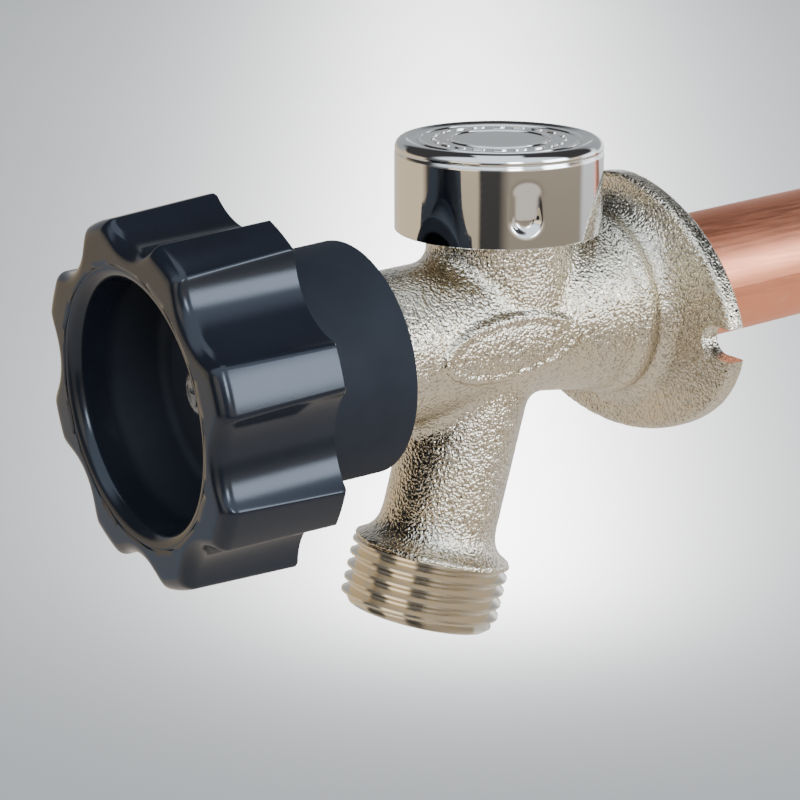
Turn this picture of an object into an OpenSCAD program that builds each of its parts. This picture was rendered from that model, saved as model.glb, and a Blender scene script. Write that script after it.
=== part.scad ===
// Frost-free sillcock: a wall faucet whose valve seat sits behind the wall, at the far end of a
// copper supply tube, with a quarter-turn handle and a vacuum breaker under a round cap.
// All lengths are millimetres and all angles degrees. The origin is the point where the tube's
// axis crosses the wall; +Y runs into the wall, +Z is up, and the spout hangs down in front.
// Distances named *_s run along the tube's own axis, negative in front of the wall.

/* [Barrel] */
// Rise of the barrel and tube towards the inside of the wall
drain_pitch = 3; // [0:0.5:6]
// Radius of the cast barrel
barrel_r = 12.7; // [12:0.1:14]
// Distance from the wall to the barrel's front shoulder
barrel_l = 60; // [58:0.5:66]
// Radius of the neck that carries the packing nut
neck_r = 9.6; // [9:0.1:10.4]
// Length of that neck
neck_l = 6; // [5:0.5:7]
// Radius of the water way inside the barrel
waterway_r = 8.4; // [7.6:0.1:9]
// Radius of the bore that the stem's seals run in
seal_bore_r = 7; // [6.8:0.1:7.4]

/* [Wall flange] */
// Half of the flange's width
flange_half_w = 30.8; // [29:0.1:34]
// Height of the flange above its widest line
flange_top_h = 24.8; // [22:0.1:28]
// Height of the flange below its widest line
flange_bottom_h = 19.5; // [18:0.1:24]
// How far the widest line lies below the tube's axis
flange_drop = 3.4; // [0:0.1:6]
// Thickness of the flange
flange_t = 3.5; // [2.5:0.1:5]
// Width of the open screw slots
slot_w = 5; // [4.6:0.1:6]
// Distance of a slot's inner end from the middle
slot_inner_x = 24; // [23:0.1:25]
// How far the slots lie below the tube's axis
slot_drop = 2.4; // [0:0.1:5]
// Radius of the bell-shaped hub where it meets the flange
hub_r = 19.5; // [18:0.1:21]
// Length of the hub in front of the wall
hub_l = 23; // [16:0.5:25]

/* [Spout] */
// Distance from the wall to where the spout's axis crosses the barrel's
spout_s = 30.7; // [28:0.1:33]
// Lean of the spout towards the front
spout_lean = 15.8; // [8:0.1:20]
// Length of the spout from the barrel's axis to its mouth
spout_l = 50.2; // [46:0.1:56]
// Radius of the spout's neck
spout_r = 9.9; // [9.6:0.1:11]
// Radius of the spout's bore
spout_bore_r = 8.2; // [7.5:0.1:8.4]
// Crest radius of the garden hose thread
hose_crest_r = 13.45; // [13.2:0.01:13.5]
// Depth of the hose thread
hose_thread_depth = 1.25; // [1:0.05:1.4]
// Pitch of the hose thread
hose_pitch = 2.209; // [2.209:0.001:2.209]
// Number of thread ridges
hose_turns = 5; // [4:1:6]

/* [Raised pad] */
// Length of the plain oval pad on the barrel's side
pad_l = 27; // [18:0.5:30]
// Height of the pad
pad_h = 11; // [7:0.1:12]
// How far the pad stands out of the barrel
pad_t = 0.8; // [0.4:0.1:1.2]
// Distance from the wall to the pad's middle
pad_s = 34.5; // [32:0.1:37]
// How far the pad's middle lies below the barrel's axis
pad_drop = 0.5; // [0:0.1:4]

/* [Vacuum breaker] */
// Distance from the wall to the breaker's upright axis
breaker_y = 28.1; // [26:0.1:32]
// Radius of the boss below the cap
boss_r = 12; // [11.5:0.1:12.6]
// Radius of the boss's threaded top
boss_thread_r = 13.2; // [12.8:0.1:13.8]
// Radius of the chamber in the boss
chamber_r = 9; // [8.4:0.1:9.4]
// Radius of the passage from the barrel up to the chamber
riser_r = 5.5; // [4:0.1:6]
// Top of the float's seat above the barrel's axis
float_seat_z = 15; // [14:0.1:16]
// Thickness of the float's seat
float_seat_t = 3; // [2:0.1:4]
// Radius of the hole in the float's seat
float_port_r = 5; // [4:0.1:5.5]
// Radius of the float
float_r = 7.4; // [6.5:0.1:8]
// Thickness of the float's disc
float_t = 3; // [2:0.1:3.4]
// Thickness of the seal on top of the float
float_seal_t = 1.5; // [1:0.1:1.8]
// Radius of the float's guide stem
float_guide_r = 1.6; // [1.2:0.1:1.8]
// Lift of the float when water runs
float_lift = 2.8; // [1:0.1:2.8]
// Thickness of the gasket between the boss and the bonnet
bonnet_gasket_t = 1; // [0.6:0.1:1.4]
// Thickness of the bonnet's top
bonnet_top_t = 3; // [2:0.1:3]
// Outer radius of the bonnet
bonnet_r = 15; // [14.8:0.1:15.3]
// Height of the bonnet's lower rim above the barrel's axis
bonnet_rim_z = 16.4; // [16:0.1:17]
// Number of air holes in the bonnet
vent_n = 6; // [4:1:8]
// Radius of each air hole
vent_r = 1.3; // [0.8:0.1:1.4]

/* [Cap] */
// Radius of the cap
cap_r = 17.2; // [17:0.1:18]
// Height of the cap
cap_h = 15.2; // [15:0.1:17]
// Height of the cap's rim above the barrel's axis
cap_z = 14.7; // [14.5:0.1:15.2]
// Wall of the cap
cap_wall = 0.9; // [0.6:0.1:1.2]
// Rounding of the cap's top edge
cap_edge_r = 1.4; // [1:0.1:2]
// Width of each pressed dimple
dimple_w = 5.9; // [4:0.1:7]
// Height of each pressed dimple
dimple_h = 8.4; // [7:0.1:10]
// Middle of the dimples above the cap's rim
dimple_z = 6.6; // [5.5:0.1:8]
// Number of dimples
dimple_n = 3; // [2:1:4]
// Angle of the first dimple, seen from above
dimple_a = -21.4; // [-40:0.1:0]

/* [Handle] */
// Distance from the wall to the grip's rear face
grip_rear_s = 77; // [76:0.1:80]
// Length of the grip
grip_l = 20.4; // [19.5:0.1:24]
// Radius over the lobes at the rear
grip_r = 29.9; // [29:0.1:33]
// Radius over the lobes behind the rounded front edge
grip_front_r = 29; // [27.5:0.1:29]
// Number of lobes
lobe_n = 8; // [6:1:9]
// Angle of the first lobe above the level, with the water off
lobe_a = 17.5; // [0:0.5:22.5]
// Radius of the hollows between the lobes
flute_r = 11.3; // [9:0.1:13]
// Depth of the hollows at the rear
flute_depth = 4.5; // [3:0.1:5.4]
// Radius of the cup in the front
cup_r = 19.7; // [18:0.1:20.5]
// Depth of the cup
cup_depth = 15.9; // [14:0.1:17]
// Radius of the hub in the cup
handle_hub_r = 13.4; // [8:0.1:15]
// Height of that hub above the cup's floor
handle_hub_h = 1.5; // [1:0.1:3]
// Radius of the skirt's rear edge
skirt_r = 19.1; // [18.5:0.1:20]
// Length of the skirt behind the grip
skirt_l = 19.75; // [17:0.05:20]
// Wall of the skirt
skirt_wall = 2.5; // [2:0.1:3]
// Side of the square that drives the stem
drive_side = 6.8; // [6:0.1:7]
// Radius of the handle screw's head
screw_head_r = 4; // [3:0.1:4.5]

/* [Stem] */
// Travel of the stem over the handle's quarter turn
stem_travel = 3; // [2:0.1:3]
// Radius of the stem where it passes the packing
stem_r = 4.75; // [4.5:0.05:4.8]
// Radius of the stem's steep threaded part
stem_thread_r = 6.2; // [6:0.05:6.3]
// Radius of the land that carries the seals
seal_land_r = 6.6; // [6.5:0.05:6.7]
// Thickness of the seals' cord
seal_cord = 1.9; // [1.6:0.1:2]
// Radius of the long operating rod
rod_r = 3.2; // [2.5:0.1:3.4]
// Radius of the stem's tail
tail_r = 5.5; // [5:0.1:6]
// Reach of the tail's guide fins
fin_r = 9.6; // [9:0.1:9.6]

/* [Tube and inlet] */
// Radius of the copper tube
tube_r = 11.11; // [11.11:0.01:11.11]
// Wall of the copper tube
tube_wall = 1.14; // [0.8:0.01:1.3]
// Depth of the tube's socket in the casting
tube_socket = 13.5; // [12:0.1:14]
// Distance from the wall to the valve seat
seat_s = 152.4; // [101.6:25.4:355.6]
// Radius of the valve seat's port
port_r = 5; // [4.5:0.1:5.5]
// Radius of the seat washer
seat_washer_r = 7.6; // [7.2:0.1:8]
// Thickness of the seat washer
seat_washer_t = 3.2; // [2.4:0.1:4]
// Radius of the half inch copper pipe's socket
pipe_socket_r = 7.98; // [7.98:0.01:7.98]
// Depth of that socket
pipe_socket_l = 13; // [12:0.5:15]
// Radius of the male pipe thread
pipe_thread_r = 10.6; // [10.3:0.1:10.8]

/* [Clearances] */
// Radial play of a turning or sliding fit
run_fit = 0.05; // [0.02:0.01:0.1]
// Radial play of pieces that are joined for good
join_fit = 0.04; // [0.02:0.01:0.08]
// Gap between a moving piece and a face that it rests on
rest_gap = 0.3; // [0.3:0.05:0.5]

/* [Hidden] */
eps = 0.01;
over = 1;
round_fn = 96;
small_fn = 48;
arc_steps = 10;

// Places along the tube's axis
neck_end_s = -barrel_l - neck_l;
bushing_l = 8;
seal_bore_l = 11;
packing_rear_s = -barrel_l - 1;
seal_bore_front_s = packing_rear_s + bushing_l;
seal_bore_rear_s = seal_bore_front_s + seal_bore_l;
packing_r = 7.5;
packing_l = 4.3;
packing_washer_t = 1.2;
tube_end_s = seat_s - 2.4;

// The handle's faces
grip_front_s = -grip_rear_s - grip_l;
cup_floor_s = grip_front_s + cup_depth;
hub_face_s = cup_floor_s - handle_hub_h;
web_rear_s = -grip_rear_s + 1;
skirt_rear_s = -grip_rear_s + skirt_l;
screw_washer_t = 0.8;
screw_head_t = 2.2;
screw_shank_r = 1.9;
screw_shank_l = 7;

// The stem's steps
stem_shoulder_s = packing_rear_s + stem_travel + rest_gap + 0.3;
land_front_s = seal_bore_front_s + stem_travel + rest_gap + 0.2;
land_l = 8;
land_rear_s = land_front_s + land_l;
groove_w = seal_cord + 0.3;
groove_r = seal_bore_r - run_fit - seal_cord;
seal_front_s = land_front_s + land_l / 4;
seal_rear_s = land_rear_s - land_l / 4;
rod_socket_l = 6.5;
rod_front_s = land_rear_s - rod_socket_l;

// The seat end of the stem
washer_face_s = seat_s - rest_gap;
washer_front_s = washer_face_s - seat_washer_t;
holder_lip = 2.2;
holder_wall = 0.6;
holder_r = seat_washer_r + join_fit + holder_wall;
holder_plate_t = 3;
holder_front_s = washer_front_s - holder_plate_t;
stub_r = 2.5;
stub_l = 6.5;
tail_rear_s = holder_front_s - rest_gap;
tail_l = 16;
tail_front_s = tail_rear_s - tail_l;
rod_rear_s = tail_rear_s - stub_l - 0.9;

// The vacuum breaker's levels
float_z = float_seat_z + rest_gap;
float_seal_z = float_z + float_t;
float_stop_gap = 0.4;
bonnet_web_z = float_seal_z + float_seal_t + float_lift + float_stop_gap;
boss_top_z = bonnet_web_z - bonnet_gasket_t;
bonnet_top_z = bonnet_web_z + bonnet_top_t;
float_guide_top_z = bonnet_top_z - 0.3;
vent_ring_r = 5.4;

// Draws in the tube's own frame, where +Y runs along the tube towards the inside of the wall
module along_tube() {
  rotate([drain_pitch, 0, 0]) children();
}

// Draws in the spout's own frame, where +Z runs from the mouth up to the barrel's axis
module along_spout() {
  along_tube() translate([0, -spout_s, 0])
    rotate([-drain_pitch - spout_lean, 0, 0]) children();
}

// Turns about the tube's axis an outline of [radius, distance] points
module turned(points, fn = round_fn) {
  rotate([-90, 0, 0]) rotate_extrude($fn = fn) polygon(points);
}

// A round bar along the tube's axis, from s0 to s1
module bar(r, s0, s1, fn = round_fn) {
  translate([0, s0, 0]) rotate([-90, 0, 0]) cylinder(r = r, h = s1 - s0, $fn = fn);
}

// A ring along the tube's axis
module tube_ring(ro, ri, s0, s1, fn = round_fn) {
  difference() {
    bar(ro, s0, s1, fn);
    bar(ri, s0 - over, s1 + over, fn);
  }
}

// An upright ring about the origin's Z axis
module upright_ring(ro, ri, z0, z1) {
  difference() {
    translate([0, 0, z0]) cylinder(r = ro, h = z1 - z0, $fn = round_fn);
    translate([0, 0, z0 - over]) cylinder(r = ri, h = z1 - z0 + 2 * over, $fn = round_fn);
  }
}

// Points of an arc about [cx, cy]
function arc(cx, cy, r, a0, a1, n = arc_steps) =
  [for (i = [0:n]) let (a = a0 + (a1 - a0) * i / n) [cx + r * cos(a), cy + r * sin(a)]];

// The flange's outline: an ellipse below its widest line, a slightly pointed one above it
top_power = 1.75;
function flange_point(a) =
  let (c = cos(a), s = sin(a), p = s > 0 ? top_power : 2, h = s > 0 ? flange_top_h : flange_bottom_h)
  [flange_half_w * sign(c) * pow(abs(c), 2 / p), h * sign(s) * pow(abs(s), 2 / p) - flange_drop];

// The flat oval flange, with its two screw slots open to the rim
module flange() {
  rotate([90, 0, 0]) linear_extrude(flange_t) difference() {
    polygon([for (i = [0:119]) flange_point(i * 3)]);
    for (side = [0, 1]) mirror([side, 0]) translate([0, -slot_drop]) {
      translate([slot_inner_x + slot_w / 2, 0]) circle(d = slot_w, $fn = small_fn);
      translate([slot_inner_x + slot_w / 2, -slot_w / 2]) square([flange_half_w, slot_w]);
    }
  }
}

// The bell-shaped hub between the barrel and the flange
hub_fillet = 4;
module hub() {
  along_tube() turned(concat(
    [[0, -hub_l], [barrel_r - 0.2, -hub_l], [hub_r - hub_fillet, -flange_t - hub_fillet]],
    arc(hub_r, -flange_t - hub_fillet, hub_fillet, 180, 90),
    [[hub_r, -flange_t / 2], [0, -flange_t / 2]]));
}

// The spout's outside: neck, flare and thread ridges, in the spout's frame
thread_l = hose_turns * hose_pitch;
flare_l = 2.2;
crest_flat = 0.5;
root_flat = 0.4;
module spout_outside() {
  root_r = hose_crest_r - hose_thread_depth;
  slope = (hose_pitch - crest_flat - root_flat) / 2;
  ridges = [for (i = [0:hose_turns - 1]) let (z = -spout_l + i * hose_pitch + root_flat / 2)
    each [[root_r, z], [hose_crest_r, z + slope],
          [hose_crest_r, z + slope + crest_flat], [root_r, z + hose_pitch - root_flat]]];
  rotate_extrude($fn = round_fn) polygon(concat(
    [[0, -spout_l]], [[root_r, -spout_l]], ridges,
    [[root_r, -spout_l + thread_l + root_flat / 2], [spout_r, -spout_l + thread_l + flare_l],
     [spout_r, -4], [0, -4]]));
}

// The breaker's boss: a flared foot, a neck and a threaded top
boss_foot_r = 16;
boss_foot_z = 5.5;
module boss_outside() {
  translate([0, -breaker_y, 0]) rotate_extrude($fn = round_fn) polygon(concat(
    [[0, 0], [boss_foot_r - 4, 0], [boss_foot_r - 4, boss_foot_z]],
    arc(boss_foot_r, boss_foot_z + 4, boss_foot_r - boss_r, 250, 180),
    [[boss_r, bonnet_rim_z - 0.4], [boss_thread_r, bonnet_rim_z], [boss_thread_r, boss_top_z],
     [0, boss_top_z]]));
}

// The plain raised oval on the barrel's side
module side_pad() {
  along_tube() intersection() {
    bar(barrel_r + pad_t, -pad_s - pad_l, -pad_s + pad_l);
    translate([barrel_r / 2, -pad_s, -pad_drop]) rotate([90, 0, 90])
      linear_extrude(barrel_r)
        polygon([for (i = [0:47]) [pad_l / 2 * cos(i * 7.5), pad_h / 2 * sin(i * 7.5)]]);
  }
}

// The spout's bore stops short of the operating rod, and the tube's socket widens at the wall
spout_bore_end = 7;
socket_mouth = 0.5;
socket_mouth_l = 1.5;
module body_casting() {
  color([0.72, 0.69, 0.62]) difference() {
    union() {
      flange();
      hub();
      along_tube() {
        bar(barrel_r, -barrel_l, -flange_t - 1);
        bar(neck_r, neck_end_s, -barrel_l + over);
      }
      along_spout() spout_outside();
      boss_outside();
      side_pad();
    }
    along_tube() {
      bar(tube_r + join_fit, -tube_socket, 4);
      bar(tube_r + socket_mouth, -socket_mouth_l, 4);
      bar(waterway_r, seal_bore_rear_s, -tube_socket + over);
      bar(seal_bore_r, seal_bore_front_s - over, seal_bore_rear_s + over);
      bar(packing_r, neck_end_s - over, seal_bore_front_s);
    }
    along_spout() translate([0, 0, -spout_l - over])
      cylinder(r = spout_bore_r, h = spout_l + over - spout_bore_end, $fn = round_fn);
    translate([0, -breaker_y, -1]) cylinder(r = riser_r, h = boss_top_z, $fn = small_fn);
    translate([0, -breaker_y, float_seat_z - float_seat_t])
      cylinder(r = chamber_r, h = boss_top_z, $fn = round_fn);
  }
}

module supply_tube() {
  color([0.78, 0.47, 0.36]) along_tube() tube_ring(tube_r, tube_r - tube_wall, -tube_socket, tube_end_s);
}

// The brass fitting at the tube's far end, with the valve seat inside
fitting_r = 13.4;
fitting_sleeve_l = 12;
seat_ring_h = 1;
seat_ring_w = 1.6;
seat_plate_t = 4.6;
pipe_thread_n = 6;
pipe_pitch = 1.814;
module inlet_fitting() {
  body_end_s = seat_s + seat_ring_h + seat_plate_t;
  thread_end_s = body_end_s + pipe_socket_l;
  thread_front_s = thread_end_s - pipe_thread_n * pipe_pitch;
  ridges = [for (i = [0:pipe_thread_n - 1]) let (s = thread_front_s + i * pipe_pitch)
    each [[pipe_thread_r - 0.7, s], [pipe_thread_r, s + 0.7], [pipe_thread_r, s + 1]]];
  color([0.80, 0.66, 0.38]) along_tube() difference() {
    turned(concat(
      [[0, tube_end_s - fitting_sleeve_l], [fitting_r - 0.8, tube_end_s - fitting_sleeve_l],
       [fitting_r, tube_end_s - fitting_sleeve_l + 0.8], [fitting_r, body_end_s - 0.8],
       [fitting_r - 0.8, body_end_s], [pipe_thread_r - 0.7, body_end_s]],
      ridges,
      [[pipe_thread_r - 0.7, thread_end_s], [0, thread_end_s]]));
    bar(tube_r + join_fit, tube_end_s - fitting_sleeve_l - over, tube_end_s);
    difference() {
      bar(tube_r - tube_wall, tube_end_s - over, seat_s + seat_ring_h);
      bar(port_r + seat_ring_w, seat_s, seat_s + seat_ring_h + over);
    }
    bar(port_r, tube_end_s, body_end_s + over);
    bar(pipe_socket_r, body_end_s, thread_end_s + over);
  }
}

// The hexagonal nut that holds the packing
nut_flats = 22;
nut_web_t = 2.6;
module packing_nut() {
  washer_front_s = packing_rear_s - packing_l - packing_washer_t;
  color([0.80, 0.66, 0.38]) along_tube() difference() {
    translate([0, washer_front_s - nut_web_t, 0]) rotate([-90, 0, 0])
      cylinder(d = nut_flats / cos(30), h = -barrel_l - rest_gap - washer_front_s + nut_web_t, $fn = 6);
    bar(neck_r + join_fit, washer_front_s, -barrel_l + over);
    bar(stem_r + 0.35, washer_front_s - nut_web_t - over, washer_front_s + over);
  }
}

module packing_washer() {
  color([0.80, 0.66, 0.38]) along_tube() tube_ring(packing_r - join_fit, stem_r + 0.35,
    packing_rear_s - packing_l - packing_washer_t, packing_rear_s - packing_l);
}

module packing_ring() {
  color([0.15, 0.15, 0.16]) along_tube() tube_ring(packing_r - join_fit, stem_r + run_fit,
    packing_rear_s - packing_l, packing_rear_s);
}

// The bushing that the stem's steep thread runs in
module stem_bushing() {
  color([0.80, 0.66, 0.38]) along_tube() tube_ring(packing_r - join_fit, stem_thread_r + run_fit,
    packing_rear_s, seal_bore_front_s);
}

// The stem's front end: the handle's square, the packing part, the thread and the seal land
module stem_head() {
  color([0.80, 0.66, 0.38]) along_tube() difference() {
    union() {
      translate([-drive_side / 2, hub_face_s + 0.5, -drive_side / 2])
        cube([drive_side, web_rear_s - hub_face_s, drive_side]);
      bar(stem_r, web_rear_s + 0.2, stem_shoulder_s + over);
      bar(stem_thread_r, stem_shoulder_s, land_front_s + over);
      difference() {
        bar(seal_land_r, land_front_s, land_rear_s);
        for (s = [seal_front_s, seal_rear_s])
          tube_ring(seal_bore_r + 1, groove_r, s - groove_w / 2, s + groove_w / 2);
      }
    }
    bar(screw_shank_r + join_fit, hub_face_s - over, hub_face_s + screw_shank_l + 1, small_fn);
    bar(rod_r + join_fit, rod_front_s, land_rear_s + over, small_fn);
  }
}

// A rubber ring in one of the stem's grooves
module stem_seal(s) {
  color([0.08, 0.08, 0.08]) along_tube() translate([0, s, 0]) rotate([-90, 0, 0])
    rotate_extrude($fn = round_fn) translate([groove_r + join_fit + (seal_cord - join_fit) / 2, 0])
      circle(d = seal_cord - join_fit, $fn = 24);
}

module stem_seal_front() { stem_seal(seal_front_s); }
module stem_seal_rear() { stem_seal(seal_rear_s); }

module operating_rod() {
  color([0.80, 0.66, 0.38]) along_tube() bar(rod_r, rod_front_s, rod_rear_s, small_fn);
}

// The stem's tail, with fins that keep it in the middle of the tube
fin_n = 4;
fin_t = 1.4;
fin_l = 9;
module stem_tail() {
  color([0.80, 0.66, 0.38]) along_tube() difference() {
    union() {
      bar(tail_r, tail_front_s, tail_rear_s);
      for (i = [0:fin_n - 1]) rotate([0, i * 360 / fin_n, 0])
        translate([0, tail_front_s + 2, -fin_t / 2]) cube([fin_r, fin_l, fin_t]);
    }
    bar(rod_r + join_fit, tail_front_s - over, rod_rear_s, small_fn);
    bar(stub_r + run_fit, tail_rear_s - stub_l - 0.4, tail_rear_s + over, small_fn);
  }
}

// The cup that carries the seat washer and swivels on the stem's tail
module seat_disc_holder() {
  color([0.80, 0.66, 0.38]) along_tube() difference() {
    union() {
      bar(stub_r, tail_rear_s - stub_l, holder_front_s + eps, small_fn);
      bar(holder_r, holder_front_s, washer_front_s + holder_lip);
    }
    bar(seat_washer_r + join_fit, washer_front_s, washer_front_s + holder_lip + over);
    bar(screw_shank_r + join_fit, washer_front_s - holder_plate_t - 2, washer_front_s + over, small_fn);
  }
}

module seat_washer() {
  color([0.10, 0.10, 0.10]) along_tube()
    tube_ring(seat_washer_r, screw_shank_r + join_fit, washer_front_s, washer_face_s);
}

// A round-headed screw that points along +Y or, turned round, along -Y
module round_screw(head_r, head_t, shank_r, shank_l) {
  difference() {
    union() {
      bar(shank_r, -eps, shank_l, small_fn);
      turned(concat([[0, 0], [head_r, 0]], arc(head_r - 0.8, -head_t + 0.8, 0.8, 0, -90, 4),
        [[0, -head_t]]), small_fn);
    }
    for (turn = [0, 90]) rotate([0, turn, 0])
      translate([-head_r * 0.55, -head_t - over, -0.45]) cube([head_r * 1.1, over + head_t * 0.55, 0.9]);
  }
}

module seat_screw() {
  color([0.75, 0.75, 0.76]) along_tube() translate([0, washer_face_s, 0]) rotate([0, 0, 180])
    round_screw(3.4, 2, screw_shank_r, seat_washer_t + 4);
}

module handle_screw() {
  color([0.75, 0.75, 0.76]) along_tube() translate([0, hub_face_s - screw_washer_t, 0])
    round_screw(screw_head_r, screw_head_t, screw_shank_r, screw_shank_l);
}

module handle_screw_washer() {
  color([0.75, 0.75, 0.76]) along_tube()
    tube_ring(screw_head_r + 1.2, screw_shank_r + join_fit, hub_face_s - screw_washer_t, hub_face_s,
      small_fn);
}

// The lobed grip, its front cup and its rear skirt
front_edge_r = 2.5;
lip_r = 2.4;
module handle() {
  color([0.08, 0.10, 0.16]) along_tube() difference() {
    union() {
      difference() {
        turned(concat(
          [[0, -grip_rear_s], [grip_r - 0.4, -grip_rear_s], [grip_r, -grip_rear_s - 0.4]],
          arc(grip_front_r - front_edge_r, grip_front_s + front_edge_r, front_edge_r, 5, -90),
          arc(cup_r + lip_r, grip_front_s + lip_r, lip_r, -90, -180, 6),
          [[cup_r, grip_front_s + 3], [0, grip_front_s + 3]]));
        for (i = [0:lobe_n - 1]) rotate([0, (i + 0.5) * 360 / lobe_n - lobe_a, 0])
          bar_at(grip_r - flute_depth + flute_r, flute_r, grip_front_s - over, -grip_rear_s + over);
      }
      turned([[0, -grip_rear_s - over], [skirt_r - 0.5, -grip_rear_s - over],
        [skirt_r, skirt_rear_s - 0.4], [skirt_r - 0.4, skirt_rear_s], [0, skirt_rear_s]]);
    }
    difference() {
      turned([[0, grip_front_s - over], [cup_r, grip_front_s - over], [cup_r, grip_front_s + 3],
        [cup_r - 1.2, cup_floor_s], [0, cup_floor_s]]);
      bar(handle_hub_r, hub_face_s, cup_floor_s + over);
    }
    bar(skirt_r - skirt_wall, web_rear_s, skirt_rear_s + over);
    translate([-drive_side / 2 - run_fit, hub_face_s + 0.45, -drive_side / 2 - run_fit])
      cube([drive_side + 2 * run_fit, web_rear_s - hub_face_s, drive_side + 2 * run_fit]);
    bar(screw_shank_r + join_fit, hub_face_s - over, hub_face_s + over, small_fn);
  }
}

// A bar parallel to the tube's axis, x away from it
module bar_at(x, r, s0, s1) {
  translate([x, 0, 0]) bar(r, s0, s1);
}

module float_seat() {
  color([0.80, 0.66, 0.38]) translate([0, -breaker_y, 0])
    upright_ring(chamber_r - join_fit, float_port_r, float_seat_z - float_seat_t, float_seat_z);
}

// The float that rises with the water and drops when it stops
module breaker_float() {
  color([0.92, 0.92, 0.88]) translate([0, -breaker_y, 0]) {
    translate([0, 0, float_z]) cylinder(r = float_r, h = float_t, $fn = round_fn);
    translate([0, 0, float_z]) cylinder(r = float_guide_r, h = float_guide_top_z - float_z, $fn = small_fn);
  }
}

module float_seal() {
  color([0.12, 0.12, 0.12]) translate([0, -breaker_y, 0])
    upright_ring(float_r, float_guide_r + join_fit, float_seal_z, float_seal_z + float_seal_t);
}

module bonnet_gasket() {
  color([0.12, 0.12, 0.12]) translate([0, -breaker_y, 0])
    upright_ring(boss_thread_r, chamber_r + 0.4, boss_top_z, bonnet_web_z);
}

// The bonnet over the boss, with its ring of air holes
module breaker_bonnet() {
  color([0.80, 0.66, 0.38]) translate([0, -breaker_y, 0]) difference() {
    translate([0, 0, bonnet_rim_z]) cylinder(r = bonnet_r, h = bonnet_top_z - bonnet_rim_z, $fn = round_fn);
    translate([0, 0, bonnet_rim_z - over])
      cylinder(r = boss_thread_r + join_fit, h = bonnet_web_z - bonnet_rim_z + over, $fn = round_fn);
    translate([0, 0, bonnet_web_z - over])
      cylinder(r = float_guide_r + run_fit, h = bonnet_top_t + 2 * over, $fn = small_fn);
    for (i = [0:vent_n - 1]) rotate(i * 360 / vent_n) translate([vent_ring_r, 0, bonnet_web_z - over])
      cylinder(r = vent_r, h = bonnet_top_t + 2 * over, $fn = 32);
  }
}

// A round-ended upright bar that presses a dimple into the cap
module dimple_tool(r) {
  half = (dimple_h - dimple_w) / 2;
  translate([0, 0, -half]) cylinder(r = r, h = 2 * half, $fn = small_fn);
  for (end = [-1, 1]) translate([0, 0, end * half]) sphere(r = r, $fn = small_fn);
}

// The chromed cap, with the dimples that grip the bonnet and a plain raised ring on top
mark_ring_r = 13.6;
mark_ring_w = 0.7;
mark_ring_h = 0.2;
module breaker_cap() {
  dimple_depth = cap_r - cap_wall - bonnet_r - join_fit;
  tool_r = (dimple_w * dimple_w / 4 + dimple_depth * dimple_depth) / (2 * dimple_depth);
  tool_x = cap_r - dimple_depth + tool_r;
  color([0.86, 0.87, 0.88]) translate([0, -breaker_y, cap_z]) difference() {
    union() {
      difference() {
        rotate_extrude($fn = round_fn) polygon(concat([[0, 0], [cap_r, 0]],
          arc(cap_r - cap_edge_r, cap_h - cap_edge_r, cap_edge_r, 0, 90, 6), [[0, cap_h]]));
        translate([0, 0, -over]) cylinder(r = cap_r - cap_wall, h = cap_h - cap_wall + over, $fn = round_fn);
      }
      intersection() {
        cylinder(r = cap_r - cap_wall / 2, h = cap_h - cap_wall, $fn = round_fn);
        for (i = [0:dimple_n - 1]) rotate(dimple_a + i * 360 / dimple_n)
          translate([tool_x, 0, dimple_z]) dimple_tool(tool_r + cap_wall);
      }
      translate([0, 0, cap_h - eps])
        upright_ring(mark_ring_r, mark_ring_r - mark_ring_w, 0, mark_ring_h + eps);
    }
    for (i = [0:dimple_n - 1]) rotate(dimple_a + i * 360 / dimple_n)
      translate([tool_x, 0, dimple_z]) dimple_tool(tool_r);
  }
}

body_casting();
supply_tube();
inlet_fitting();
packing_nut();
packing_washer();
packing_ring();
stem_bushing();
stem_head();
stem_seal_front();
stem_seal_rear();
operating_rod();
stem_tail();
seat_disc_holder();
seat_washer();
seat_screw();
handle();
handle_screw();
handle_screw_washer();
float_seat();
breaker_float();
float_seal();
bonnet_gasket();
breaker_bonnet();
breaker_cap();
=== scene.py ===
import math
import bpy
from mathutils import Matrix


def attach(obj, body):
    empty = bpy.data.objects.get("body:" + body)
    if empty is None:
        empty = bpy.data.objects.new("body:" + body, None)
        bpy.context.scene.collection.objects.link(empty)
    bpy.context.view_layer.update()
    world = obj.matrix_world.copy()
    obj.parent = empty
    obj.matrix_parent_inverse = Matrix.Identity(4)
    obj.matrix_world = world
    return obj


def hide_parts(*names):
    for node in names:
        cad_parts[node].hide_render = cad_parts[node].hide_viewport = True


bl_info = {
    "name": "Frost Free Sillcock",
    "version": (1, 0, 0),
    "blender": (4, 5, 0),
    "location": "View3D > Sidebar > Sillcock",
    "description": "Models and finishes the visible pieces of the sillcock over its packed frame",
    "category": "Object",
}

from contextlib import contextmanager

import bmesh
import bpy
from bpy.props import FloatProperty, FloatVectorProperty, IntProperty, PointerProperty
from mathutils import Matrix, Vector

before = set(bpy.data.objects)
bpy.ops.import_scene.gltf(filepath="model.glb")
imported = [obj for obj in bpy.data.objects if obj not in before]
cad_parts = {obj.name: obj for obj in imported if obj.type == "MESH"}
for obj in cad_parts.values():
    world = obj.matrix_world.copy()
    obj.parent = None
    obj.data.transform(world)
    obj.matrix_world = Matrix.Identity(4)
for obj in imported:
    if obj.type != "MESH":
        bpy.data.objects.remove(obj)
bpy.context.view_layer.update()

# Pieces are modelled in millimetres, in the space of the part that carries them, and then
# settled in metres in the frame. +Z runs into the wall in ALONG_TUBE, up the spout in
# ALONG_SPOUT, straight up in BREAKER, out of the wall in WALL_PLATE and out of the barrel's
# +X side in BARREL_SIDE.
METRES = Matrix.Scale(0.001, 4)
DRAIN_PITCH = math.radians(3.0)
SPOUT_LEAN = math.radians(18.8)
SPOUT_Y, BREAKER_Y = -30.7, -28.1
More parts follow.
